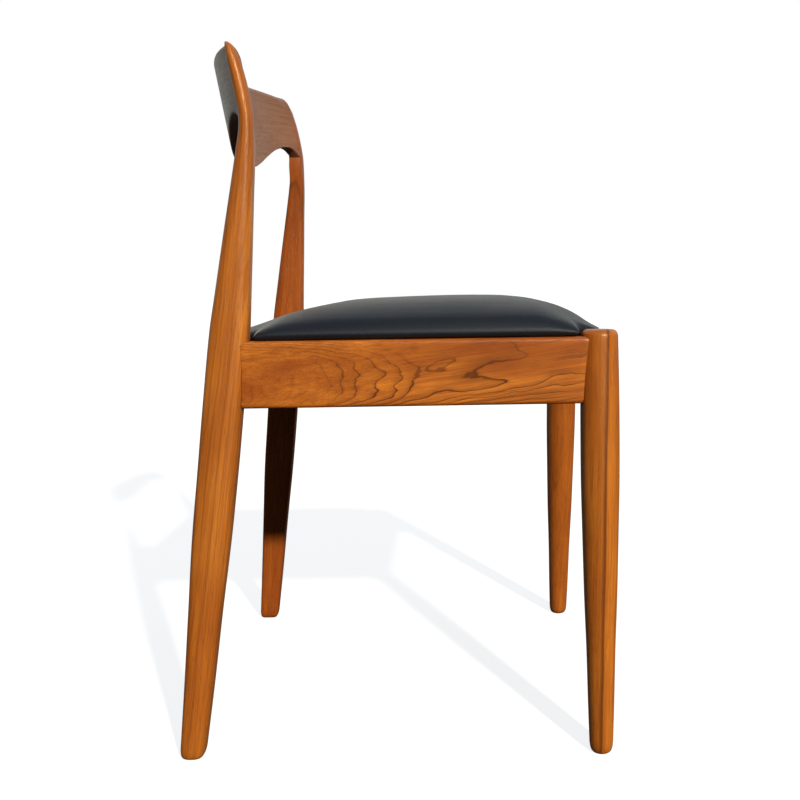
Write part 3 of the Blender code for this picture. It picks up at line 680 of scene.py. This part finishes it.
def back_top(across):
    """The height of the backrest's top edge, which rises from its middle to a crest beside each post."""
    if across < BACK_CREST_ACROSS:
        return BACK_TOP_MIDDLE + (BACK_TOP_CREST - BACK_TOP_MIDDLE) * ease(across, 0.0, BACK_CREST_ACROSS)
    return BACK_TOP_CREST + (HEIGHT - BACK_TOP_CREST) * ease(across, BACK_CREST_ACROSS, JOINT_ACROSS)


def back_section(across):
    """The backrest's outline in the plane across its length, as (forward, up), with every edge eased."""
    low = along(BACK_LOWER_EDGE, abs(across))[0]
    top = back_top(abs(across))
    near_post = ease(abs(across), BACK_ROUNDING_START, JOINT_ACROSS)
    rounding = BACK_TOP_ROUNDING_MIDDLE + (BACK_TOP_ROUNDING_END - BACK_TOP_ROUNDING_MIDDLE) * near_post
    outline = []
    for height in spread(low + BACK_LOWER_ARRIS, top - BACK_TOP_LAND, 18):
        outline.append((back_rear_face(across, height), height))
    for step in range(1, 6):
        turn = math.radians(90 - 18 * step)
        height = top - BACK_TOP_LAND * math.sin(turn)
        rear = back_rear_face(across, height)
        drop = BACK_TOP_LAND * (1 - math.cos(turn))
        outline.append((rear + BACK_TOP_LAND * (1 - math.sin(turn)), top - drop))
    for step in range(1, 13):
        turn = math.radians(90 * (12 - step) / 12)
        height = top - rounding * (1 - math.sin(turn))
        inner = back_inner_face(across, height)
        land = back_rear_face(across, height) + BACK_TOP_LAND
        outline.append((land + (inner - land) * math.cos(turn), height))
    for height in spread(top - rounding, low + BACK_LOWER_ARRIS, 18)[1:]:
        outline.append((back_inner_face(across, height), height))
    for face, direction in ((back_inner_face, -1), (back_rear_face, 1)):
        for step in range(4) if direction == 1 else range(1, 5):
            turn = math.radians(22.5 * step)
            if direction == 1:
                sideways, lift = 1 - math.sin(turn), 1 - math.cos(turn)
            else:
                sideways, lift = 1 - math.cos(turn), 1 - math.sin(turn)
            edge = face(across, low) + direction * BACK_LOWER_ARRIS * sideways
            outline.append((edge, low + BACK_LOWER_ARRIS * lift))
    return outline


def add_backrest():
    """The curved board between the posts."""
    reach = JOINT_ACROSS - JOINT_GAP
    rings = []
    for across in spread(-reach, reach, 120):
        rings.append([place(across, forward, up) for forward, up in back_section(across)])

    def grain(point):
        forward = -point.y - back_inner_face(point.x, point.z) - BACK_PITH_DEPTH - BACK_PITH_TURN * point.x
        return forward, point.z - BACK_PITH_HEIGHT - BACK_PITH_SLOPE * point.x, point.x

    board = loft("curved_backrest", rings, MATERIALS["back"], 42, grain)
    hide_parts("backrest")


# Rails


def rail_section(shrink):
    """A rounded rectangle, as (sideways, up) about the rail's middle, drawn in by shrink."""
    half_wide = RAIL_THICKNESS / 2 - shrink
    half_high = (RAIL_TOP - RAIL_BOTTOM) / 2 - shrink
    radius = RAIL_EDGE_RADIUS
    points = []
    for sideways, up, first in ((1, 1, 0), (-1, 1, 90), (-1, -1, 180), (1, -1, 270)):
        for step in range(7):
            angle = math.radians(first + 15 * step)
            points.append(
                (
                    sideways * (half_wide - radius) + radius * math.cos(angle),
                    up * (half_high - radius) + radius * math.sin(angle),
                )
            )
        if sideways == up:
            points.extend(edge_points(points[-1], sideways, -half_wide + radius, True, 6))
        else:
            points.extend(edge_points(points[-1], up, half_high - radius, False, 14))
    return points


def edge_points(start, sign, reach, is_level, count):
    """Points along a straight edge of the section, so that the wood's figure has places to follow."""
    points = []
    for step in range(1, count):
        share = step / count
        if is_level:
            points.append((start[0] + (sign * reach - start[0]) * share, start[1]))
        else:
            points.append((start[0], start[1] + (-sign * reach - start[1]) * share))
    return points


def front_leg_back(across, height):
    """How far forward the back of a front leg is at a place across."""
    middle, forward = front_leg_centre(height)
    radius = front_leg_radius(height)
    aside = min(abs(abs(across) - middle), radius * 0.98)
    return forward - math.sqrt(radius**2 - aside**2)


def front_leg_inner(forward, height):
    """How far across the inner side of a front leg is at a place forward."""
    across, middle = front_leg_centre(height)
    radius = front_leg_radius(height)
    aside = min(abs(forward - middle), radius * 0.98)
    return across - math.sqrt(radius**2 - aside**2)


def rear_leg_front(across, height):
    """How far forward the front of a rear leg is at a place across."""
    back, front, inner, outer, power, _ = rear_leg_section(height)
    reach = min(abs(2 * (abs(across) - inner) / (outer - inner) - 1), 0.995)
    return (front + back) / 2 + (front - back) / 2 * (1 - reach**power) ** (1 / power)


def rear_leg_inner(forward, height):
    """How far across the inner side of a rear leg is at a place forward."""
    back, front, inner, outer, power, _ = rear_leg_section(height)
    depth = min(abs(2 * (forward - back) / (front - back) - 1), 0.995)
    return (inner + outer) / 2 - (outer - inner) / 2 * (1 - depth**power) ** (1 / power)


def rail_stations():
    """Places along a rail as (share of its length, distance from an end, which end, shrink)."""
    ends = []
    for step in range(7):
        turn = math.radians(15 * step)
        shrink = RAIL_END_RADIUS * (1 - math.sin(turn))
        ends.append((RAIL_END_RADIUS * (1 - math.cos(turn)), shrink))
    stations = [(0.0, distance, 1, shrink) for distance, shrink in ends]
    stations += [(share, 0.0, 0, 0.0) for share in spread(0.02, 0.98, 90)]
    stations += [(1.0, distance, -1, shrink) for distance, shrink in reversed(ends)]
    return stations


def side_rail_outer(forward):
    """How far out a side rail's outer face is."""
    share = (forward - SIDE_RAIL_JOINT) / (front_leg_centre(RAIL_TOP)[1] - SIDE_RAIL_JOINT)
    return SIDE_RAIL_OUTER_REAR + (SIDE_RAIL_OUTER_FRONT - SIDE_RAIL_OUTER_REAR) * share


def add_side_rail(side_name, side):
    """A side rail, scribed to the front leg and butted on the rear leg, with its ends eased."""
    middle = (RAIL_TOP + RAIL_BOTTOM) / 2
    rings = []
    for share, distance, end, shrink in rail_stations():
        ring = []
        for wide, up in rail_section(shrink):
            start_across = side_rail_outer(SIDE_RAIL_REAR_END) - RAIL_THICKNESS / 2 + wide
            end_across = side_rail_outer(SIDE_RAIL_FRONT_END) - RAIL_THICKNESS / 2 + wide
            start = rear_leg_front(start_across, middle + up) + JOINT_GAP
            stop = front_leg_back(end_across, middle + up) - JOINT_GAP
            forward = start + (stop - start) * share + distance * end
            across = side_rail_outer(forward) - RAIL_THICKNESS / 2 + wide
            ring.append(place(side * across, forward, middle + up))
        rings.append(ring)

    def grain(point):
        forward, up = -point.y, point.z - middle
        depth = SIDE_PITH_DEPTH + SIDE_PITH_DEEPENING * ease(forward, *SIDE_PITH_DEEPENS)
        pith_up = SIDE_PITH_SLOPE * forward - SIDE_PITH_DROP
        return depth + (side_rail_outer(forward) - side * point.x), up - pith_up, forward + 5 * side

    name = f"side_rail_{side_name}"
    look = MATERIALS["side_right"] if side == RIGHT else MATERIALS["rail"]
    rail = loft("shaped_" + name, rings, look, 60, grain)
    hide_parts(name)


def add_cross_rail(name, face, towards, inner_of_leg):
    """The front or the rear rail, scribed to the inner sides of the two legs at that end."""
    middle = (RAIL_TOP + RAIL_BOTTOM) / 2
    centre = face + towards * RAIL_THICKNESS / 2
    rings = []
    for share, distance, end, shrink in rail_stations():
        ring = []
        for deep, up in rail_section(shrink):
            stop = inner_of_leg(centre + deep, middle + up) - JOINT_GAP
            across = -stop + 2 * stop * share + distance * end
            ring.append(place(across, centre + deep, middle + up))
        rings.append(ring)

    def grain(point):
        up = point.z - middle + CROSS_PITH_DROP + CROSS_PITH_SLOPE * point.x
        return CROSS_PITH_DEPTH - CROSS_PITH_TURN * point.x, up, point.x + 9 * towards

    rail = loft("shaped_" + name, rings, MATERIALS["rail"], 60, grain)
    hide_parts(name)


# Cushion


def arc_corner(before, corner, after, radius, steps):
    """The points of an arc that rounds a corner of an outline."""
    to_before = (before - corner).normalized()
    to_after = (after - corner).normalized()
    half = to_before.angle(to_after) / 2
    middle = corner + (to_before + to_after).normalized() * radius / math.sin(half)
    first = (corner + to_before * radius / math.tan(half) - middle).normalized()
    last = (corner + to_after * radius / math.tan(half) - middle).normalized()
    return [middle + first.slerp(last, step / steps) * radius for step in range(steps + 1)]


def cushion_outline():
    """The cushion from above as (across, forward), notched round the front legs and the rear posts."""
    corners = (
        (FRONT_NOTCH_ACROSS, SEAT_FRONT, 0.013),
        (FRONT_NOTCH_ACROSS, FRONT_NOTCH_FORWARD, 0.014),
        (SEAT_SIDE_FRONT, FRONT_NOTCH_FORWARD, 0.005),
        (SEAT_SIDE_REAR, REAR_NOTCH_FORWARD, 0.005),
        (REAR_NOTCH_ACROSS, REAR_NOTCH_FORWARD, 0.007),
        (REAR_NOTCH_ACROSS, SEAT_REAR, 0.013),
    )
    mirrored = [(-across, forward, radius) for across, forward, radius in reversed(corners)]
    loop = list(corners) + mirrored
    points = []
    for index, (across, forward, radius) in enumerate(loop):
        before, after = loop[index - 1], loop[(index + 1) % len(loop)]
        corner = Vector((across, forward))
        following = Vector(after[:2])
        points.extend(arc_corner(Vector(before[:2]), corner, following, radius, 7))
        extra = int((following - corner).length / 0.008)
        reach = (following - corner).normalized()
        start = corner + reach * radius
        stop = following - reach * after[2]
        points.extend(start.lerp(stop, step / (extra + 1)) for step in range(1, extra + 1))
    return points


def crown_height(forward):
    """How high the cushion's middle line is above the rails."""
    return along(CUSHION_PROFILE, forward)[0]


def edge_height(forward):
    """How high the cushion's side is above the rails, less at its front and rear edges."""
    return min(CUSHION_EDGE, crown_height(forward))


def cushion_height(across, forward, from_edge):
    """How far the leather is above the rails, from its crown and from the roll at its edge."""
    crown, edge = crown_height(forward), edge_height(forward)
    aside = min(abs(across) / SEAT_SIDE_REAR, 1.0)
    full = edge + (crown - edge) * (1 - aside**4) ** 0.6
    front_corner = ease(forward, *FRONT_FALL_FORWARD) * ease(abs(across), *FRONT_FALL_ACROSS)
    rear_corner = ease(-forward, *REAR_FALL_BACK) * ease(abs(across), *REAR_FALL_ACROSS)
    full *= 1 - FRONT_CORNER_FALL * front_corner - REAR_CORNER_FALL * rear_corner
    lead = min(max(from_edge / CUSHION_ROLL, 0.0), 1.0)
    roll = math.sqrt(1 - (1 - lead) ** 2)
    low = CUSHION_BELLY * edge
    return low + (full - low) * roll


def cushion_ring(share, inset, lift=None, height=None):
    """A ring of the cushion, a share of the way out from its middle and drawn in by inset.

    Its height over the rails is the leather's, or lift as a share of its side's, or a plain height.
    """
    middle = Vector((0, SEAT_CENTRE))
    soften = ease(1 - share, 0.0, CUSHION_SOFTENING)
    points = []
    for point in cushion_outline():
        spoke = point - middle
        wide, deep = squared(math.atan2(spoke.y, spoke.x), SEAT_SQUARENESS)
        shaped = spoke.lerp(Vector((wide * SEAT_HALF_WIDTH, deep * SEAT_HALF_DEPTH)), soften) * share
        shaped -= shaped.normalized() * inset
        across, forward = middle.x + shaped.x, middle.y + shaped.y
        if height is not None:
            up = height
        elif lift is not None:
            up = CUSHION_GAP + lift * CUSHION_BELLY * edge_height(forward)
        else:
            up = CUSHION_GAP + cushion_height(across, forward, (1 - share) * spoke.length)
        points.append(place(across, forward, RAIL_TOP + up))
    return points


def cushion_rings():
    """Rings of the cushion's closed skin, from the middle of its underside to the middle of its top."""
    rings = [cushion_ring(share, 0.0, 0.0) for share in (0.10, 0.30, 0.50, 0.70, 0.85)]
    rings.append(cushion_ring(1.0, CUSHION_TUCK + 0.004, 0.0))
    for step in range(6):
        turn = math.radians(18 * step)
        rings.append(cushion_ring(1.0, CUSHION_TUCK * (1 - math.sin(turn)), 1 - math.cos(turn)))
    shares = [0.9985, 0.996, 0.992, 0.987, 0.98, 0.972, 0.962, 0.95, 0.935, 0.915, 0.89, 0.86, 0.82]
    shares += spread(0.78, 0.04, 22)
    rings.extend(cushion_ring(share, 0.0) for share in shares)
    return rings


def spread_out(values, pairs, rounds):
    """Values averaged with those of their neighbours, a number of times."""
    first, second = pairs[:, 0], pairs[:, 1]
    size = len(values)
    neighbours = np.bincount(pairs.ravel(), minlength=size)
    for _ in range(rounds):
        total = np.bincount(first, values[second], size) + np.bincount(second, values[first], size)
        values = 0.5 * values + 0.5 * total / neighbours
    return values


def swell(piece):
    """Fills the cushion: cloth under pressure, held along its underside.

    Only its outward swelling is kept, capped and evened out, because the leather is taut and smooth.
    """
    bpy.context.view_layer.objects.active = piece
    piece.select_set(True)
    remesh = piece.modifiers.new("remesh", "REMESH")
    remesh.mode = "VOXEL"
    remesh.voxel_size = VOXEL
    remesh.use_smooth_shade = True
    bpy.ops.object.modifier_apply(modifier=remesh.name)
    rest = [vertex.co.copy() for vertex in piece.data.vertices]
    normals = [vertex.normal.copy() for vertex in piece.data.vertices]
    held = piece.vertex_groups.new(name="held")
    for vertex in piece.data.vertices:
        above = vertex.co.z - (RAIL_TOP + CUSHION_GAP)
        held.add([vertex.index], 1.0 - ease(above, 0.003, 0.009), "REPLACE")
    cloth = piece.modifiers.new("cloth", "CLOTH")
    cloth.settings.quality = 5
    cloth.settings.mass = 0.4
    cloth.settings.tension_stiffness = 30
    cloth.settings.compression_stiffness = 30
    cloth.settings.bending_stiffness = 2.0
    cloth.settings.use_pressure = True
    cloth.settings.uniform_pressure_force = CLOTH_PRESSURE
    cloth.settings.effector_weights.gravity = 0
    cloth.settings.vertex_group_mass = "held"
    cloth.collision_settings.use_collision = False
    for number in range(1, CLOTH_FRAMES + 1):
        bpy.context.scene.frame_set(number)
    bpy.ops.object.modifier_apply(modifier=cloth.name)
    bpy.context.scene.frame_set(1)
    outward = [(vertex.co - start).dot(n) for vertex, start, n in zip(piece.data.vertices, rest, normals)]
    pairs = np.array([edge.vertices[:] for edge in piece.data.edges])
    outward = spread_out(np.clip(outward, 0.0, SWELL_CAP), pairs, SWELL_SMOOTHING)
    for vertex, start, normal, push in zip(piece.data.vertices, rest, normals, outward):
        vertex.co = start + normal * float(push)
    smooth = piece.modifiers.new("smooth", "SMOOTH")
    smooth.factor = 0.5
    smooth.iterations = 2
    bpy.ops.object.modifier_apply(modifier=smooth.name)
    finer = piece.modifiers.new("finer", "SUBSURF")
    finer.levels = finer.render_levels = 1
    bpy.ops.object.modifier_apply(modifier=finer.name)
    piece.vertex_groups.clear()
    piece.data.shade_smooth()
    piece.select_set(False)


def add_cushion():
    """The leather cushion that drops over the rails."""
    piece = loft("seat_cushion", cushion_rings(), LEATHER, 180)
    swell(piece)
    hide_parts("seat_cover", "seat_foam")


# The hidden construction


def add_board():
    """The plywood board inside the cushion, with its edges chamfered so that the leather rolls over them."""
    low, high = (corner.z - RAIL_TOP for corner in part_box("seat_board"))
    steps = (  # share of the way out, height over the rails
        (0.10, low),
        (0.60, low),
        (BOARD_REACH - 0.015, low),
        (BOARD_REACH, low + BOARD_CHAMFER / 2),
        (BOARD_REACH, high - BOARD_CHAMFER),
        (BOARD_REACH - 0.020, high),
        (0.60, high),
        (0.10, high),
    )
    rings = [cushion_ring(share, 0.0, height=height) for share, height in steps]
    board = loft("chamfered_seat_board", rings, plywood(), 30)
    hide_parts("seat_board")


def add_dust_cloth():
    """The thin cloth stapled under the seat, a little slack between its staples."""
    half_wide, half_deep = DUST_REACH * SEAT_HALF_WIDTH, DUST_REACH * SEAT_HALF_DEPTH
    turns = [2 * math.pi * i / 120 for i in range(120)]
    under = RAIL_TOP + CUSHION_GAP - DUST_CLEARANCE

    def ring(share, lower):
        points = []
        for turn in turns:
            wide, deep = squared(turn, SEAT_SQUARENESS)
            slack = DUST_SAG * (1 - share**4) ** 0.5
            pucker = DUST_PUCKER * math.sin(DUST_STAPLES * turn) * share**6
            height = under - slack - pucker - lower
            points.append(place(wide * half_wide * share, SEAT_CENTRE + deep * half_deep * share, height))
        return points

    shares = spread(0.03, 0.94, 26) + [0.96, 0.98, 0.99, 1.0]
    rings = [ring(share, 0.0) for share in shares]
    rings += [ring(share, DUST_THICKNESS) for share in reversed(shares)]
    cloth = loft("stapled_dust_cloth", rings, dust_cloth(), 60)
    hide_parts("dust_cover")
    staples = add_staples(half_wide, half_deep, under - DUST_THICKNESS - DUST_PUCKER)


def add_staples(half_wide, half_deep, height):
    """Flat wire staples round the edge of the dust cloth."""

    def edge_place(turn):
        wide, deep = squared(turn, SEAT_SQUARENESS)
        return Vector((wide * half_wide, deep * half_deep)) * STAPLE_PLACE

    wire = (  # sideways, down
        (-STAPLE_HALF_WIDTH, 0.0),
        (STAPLE_HALF_WIDTH, 0.0),
        (STAPLE_HALF_WIDTH, STAPLE_THICKNESS),
        (-STAPLE_HALF_WIDTH, STAPLE_THICKNESS),
    )
    builder = bmesh.new()
    for index in range(DUST_STAPLES):
        turn = 2 * math.pi * (index + 0.25) / DUST_STAPLES
        middle = edge_place(turn)
        run = (edge_place(turn + 0.02) - middle).normalized()
        across_run = Vector((-run.y, run.x))
        rings = []
        for along_run, drop in STAPLE_BEND:
            ring = []
            for sideways, lower in wire:
                spot = middle + run * along_run + across_run * sideways
                ring.append(place(spot.x, SEAT_CENTRE + spot.y, height - drop - lower))
            rings.append(ring)
        skin(builder, rings)
    name = "dust_cloth_staples"
    staples = finish_mesh(name, built_mesh(name, builder), ZINC)
    return staples


def add_block(name):
    """A corner block like its CAD solid, with its edges eased."""
    mesh = NODES[name].data.copy()
    mesh.name = "eased_" + name
    piece = finish_mesh("eased_" + name, mesh, BEECH)
    bevel = piece.modifiers.new("bevel", "BEVEL")
    bevel.width = 0.0012
    bevel.segments = 3
    bevel.limit_method = "ANGLE"
    bevel.angle_limit = math.radians(50)
    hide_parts(name)


def dress_cad_nodes():
    """Materials for the CAD pieces that stay as they are."""
    for name, node in NODES.items():
        if name.startswith("dowel"):
            look = BEECH
        elif "screw" in name:
            look = ZINC
        else:
            continue
        node.data.materials.clear()
        node.data.materials.append(look)


# Stage


def add_sky():
    """A dim sky behind the camera, a bright one beyond the chair, and plain white where the camera looks."""
    world = bpy.data.worlds.new("sky")
    bpy.context.scene.world = world
    m = Nodes(world)
    direction = m.add("SeparateXYZ", {0: m.add("TexCoord").outputs["Generated"]})
    height = m.math("MULTIPLY_ADD", direction.outputs[2], 0.5, 0.5)
    turn = m.ramp(m.math("MULTIPLY_ADD", direction.outputs[0], 0.5, 0.5), *SKY_TURN)
    sky = m.mix(turn, m.ramp(height, *NEAR_SKY), m.ramp(height, *FAR_SKY))
    seen = m.add("LightPath").outputs["Is Camera Ray"]
    m.tree.links.new(m.mix(seen, sky, (1.0, 1.0, 1.0)), m.tree.nodes["Background"].inputs[0])


def add_floor():
    """A pale floor that takes the chair's shadow but lights nothing."""
    mesh = bpy.data.meshes.new("floor")
    corners = [(x * FLOOR_REACH, y * FLOOR_REACH, 0) for x, y in ((-1, -1), (1, -1), (1, 1), (-1, 1))]
    mesh.from_pydata(corners, [], [(0, 1, 2, 3)])
    floor = bpy.data.objects.new("floor", mesh)
    bpy.context.scene.collection.objects.link(floor)
    look = material_nodes("pale_floor").set(
        Base_Color=(FLOOR_GREY, FLOOR_GREY, FLOOR_GREY),
        Roughness=0.95,
        Emission_Color=(1.0, 1.0, 1.0),
        Emission_Strength=FLOOR_GLOW,
    )
    mesh.materials.append(look)
    floor.visible_diffuse = False
    floor.visible_glossy = False


def add_sun():
    """A warm key light with soft edges."""
    sun = bpy.data.lights.new("key", "SUN")
    sun.energy = SUN_STRENGTH
    sun.angle = math.radians(SUN_SOFTNESS)
    sun.color = SUN_COLOUR
    key = bpy.data.objects.new("key", sun)
    bpy.context.scene.collection.objects.link(key)
    key.rotation_euler = TOWARDS_SUN.to_track_quat("Z", "Y").to_euler()


def add_camera():
    """The camera, looking level across the chair from its right, with a slight roll."""
    lens = bpy.data.cameras.new("camera")
    lens.sensor_width = 36.0
    lens.lens = LENS
    lens.shift_x, lens.shift_y = LENS_SHIFT
    lens.clip_end = 100
    camera = bpy.data.objects.new("camera", lens)
    bpy.context.scene.collection.objects.link(camera)
    look = Vector((1, 0, 0))
    right = Vector((0, -math.cos(CAMERA_ROLL), -math.sin(CAMERA_ROLL)))
    up = Vector((0, -math.sin(CAMERA_ROLL), math.cos(CAMERA_ROLL)))
    turn = Matrix((right, up, -look)).transposed()
    camera.matrix_world = Matrix.Translation(CAMERA_PLACE) @ turn.to_4x4()
    bpy.context.scene.camera = camera


# The build


for side_name, side in SIDES:
    add_front_leg(side_name, side)
    add_rear_leg(side_name, side)
    add_side_rail(side_name, side)
add_backrest()
add_cross_rail("front_rail", FRONT_RAIL_FACE, -1, front_leg_inner)
add_cross_rail("rear_rail", REAR_RAIL_FACE, 1, rear_leg_inner)
add_cushion()
add_board()
add_dust_cloth()
for block in [name for name in NODES if name.endswith(("block_right", "block_left"))]:
    add_block(block)
dress_cad_nodes()

add_floor()
add_sky()
add_sun()
add_camera()
bpy.context.scene.view_settings.view_transform = "Standard"
